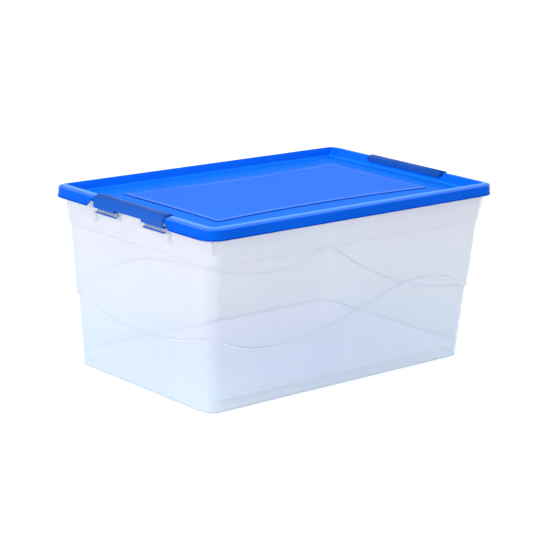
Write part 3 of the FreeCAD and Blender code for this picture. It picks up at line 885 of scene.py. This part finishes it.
def clear_plastic(name, foot, top, opacity, rim_opacity, glow_strength):
    """Cloudy clear plastic: partly see-through, the rest lit from both sides.

    foot and top are the tints low and high on the tub. opacity is its range at a square look, and
    rim_opacity is added at a grazing one. glow_strength is painted light: an emission that makes the
    finish glow though it is no lamp.
    """
    material, nodes, links, shader = node_material(name)
    cloud = noise(nodes, links, *CLEAR_CLOUD, CLEAR_CLOUD_STRETCH)
    tint = ramp(nodes, links, height_mix(nodes, links, cloud), (*foot, 1), (*top, 1), (0.0, 1.0))
    links.new(tint, shader.inputs["Base Color"])
    links.new(spread(nodes, links, cloud, *CLEAR_ROUGHNESS), shader.inputs["Roughness"])
    add_grain(nodes, links, shader, *CLEAR_GRAIN)
    shader.inputs["IOR"].default_value = PLASTIC_IOR
    shader.inputs["Specular IOR Level"].default_value = CLEAR_SPECULAR
    # painted light: an emission, strong only on the floor finish
    shader.inputs["Emission Color"].default_value = (*GLOW_COLOUR, 1)
    shader.inputs["Emission Strength"].default_value = glow_strength
    through = nodes.new("ShaderNodeBsdfTranslucent")
    links.new(tint, through.inputs["Color"])
    milk = nodes.new("ShaderNodeMixShader")
    milk.inputs["Fac"].default_value = MILK_SHARE
    links.new(shader.outputs["BSDF"], milk.inputs[1])
    links.new(through.outputs["BSDF"], milk.inputs[2])
    facing = nodes.new("ShaderNodeLayerWeight")
    facing.inputs["Blend"].default_value = GRAZING_BLEND
    share = nodes.new("ShaderNodeMath")
    share.operation = "MULTIPLY_ADD"
    share.inputs[1].default_value = rim_opacity
    links.new(facing.outputs["Facing"], share.inputs[0])
    links.new(spread(nodes, links, cloud, *opacity), share.inputs[2])
    clear = nodes.new("ShaderNodeBsdfTransparent")
    clear.inputs["Color"].default_value = (*CLEAR_SEEN_THROUGH, 1)
    wall = nodes.new("ShaderNodeMixShader")
    links.new(share.outputs["Value"], wall.inputs["Fac"])
    links.new(clear.outputs["BSDF"], wall.inputs[1])
    links.new(milk.outputs["Shader"], wall.inputs[2])
    output = next(node for node in nodes if node.type == "OUTPUT_MATERIAL")
    links.new(wall.outputs["Shader"], output.inputs["Surface"])
    return material


# ---------------------------------------------------------------- stage

def make_floor():
    """White floor of the studio, far wider than the box."""
    material, nodes, links, shader = node_material("floor_white")
    soft = noise(nodes, links, 2.0, 2.0)
    links.new(ramp(nodes, links, soft, *FLOOR_WHITES), shader.inputs["Base Color"])
    shader.inputs["Roughness"].default_value = FLOOR_ROUGHNESS
    floor = bmesh.new()
    bmesh.ops.create_grid(floor, x_segments=2, y_segments=2, size=FLOOR_HALF)
    mesh = bpy.data.meshes.new("floor")
    floor.to_mesh(mesh)
    floor.free()
    mesh.materials.append(material)
    thing = bpy.data.objects.new("floor", mesh)
    bpy.context.scene.collection.objects.link(thing)


def area_light(name, location, power):
    """Round area light that faces the box."""
    data = bpy.data.lights.new(name, "AREA")
    data.shape = "DISK"
    data.size = LIGHT_SIZE
    data.energy = power
    light = bpy.data.objects.new(name, data)
    light.location = location
    light.rotation_mode = "QUATERNION"
    light.rotation_quaternion = (Vector(LIGHT_TARGET) - Vector(location)).to_track_quat("-Z", "Y")
    bpy.context.scene.collection.objects.link(light)


def make_lights():
    """Even bright sky, two area lights and the Standard view."""
    world = bpy.data.worlds.new("studio")
    world.use_nodes = True
    nodes, links = world.node_tree.nodes, world.node_tree.links
    background = nodes["Background"]
    background.inputs["Strength"].default_value = 1.0
    direction = nodes.new("ShaderNodeTexCoord")
    parts = nodes.new("ShaderNodeSeparateXYZ")
    sky = nodes.new("ShaderNodeValToRGB")
    stops = sky.color_ramp.elements
    while len(stops) < len(SKY):
        stops.new(0.5)
    for stop, (height, colour) in zip(stops, SKY):
        stop.position = height
        stop.color = (*colour, 1)
    links.new(direction.outputs["Generated"], parts.inputs["Vector"])
    links.new(parts.outputs["Z"], sky.inputs["Fac"])
    links.new(sky.outputs["Color"], background.inputs["Color"])
    bpy.context.scene.world = world
    for name, (location, power) in LIGHTS.items():
        area_light(name, location, power)
    bpy.context.scene.view_settings.view_transform = "Standard"


def make_camera():
    """Camera at the reference view: far off, a little above the lid, past the corner (-X, -Y)."""
    azimuth, elevation, roll = radians(CAMERA_AZIMUTH), radians(CAMERA_ELEVATION), radians(CAMERA_ROLL)
    back = Vector((sin(azimuth) * cos(elevation), -cos(azimuth) * cos(elevation), sin(elevation)))
    right = Vector((0, 0, 1)).cross(back).normalized()
    up = back.cross(right)
    x_axis = right * cos(roll) + up * sin(roll)
    y_axis = up * cos(roll) - right * sin(roll)
    data = bpy.data.cameras.new("camera")
    data.sensor_width = CAMERA_SENSOR
    data.lens = CAMERA_LENS
    camera = bpy.data.objects.new("camera", data)
    turn = Matrix((x_axis, y_axis, back)).transposed().to_4x4()
    camera.matrix_world = Matrix.Translation(CAMERA_PLACE) @ turn
    bpy.context.scene.collection.objects.link(camera)
    bpy.context.scene.camera = camera


make_camera()
make_floor()
make_lights()
make_tub({finish: clear_plastic("tub_" + finish, *look) for finish, look in CLEAR_LOOKS.items()})
make_lid({finish: blue_plastic("lid_" + finish + "_blue", *look) for finish, look in BLUE_LOOKS.items()})
latch_blue = blue_plastic("latch_blue", *LATCH_LOOK)
make_latch("latch_right", 1, latch_blue)
make_latch("latch_left", -1, latch_blue)
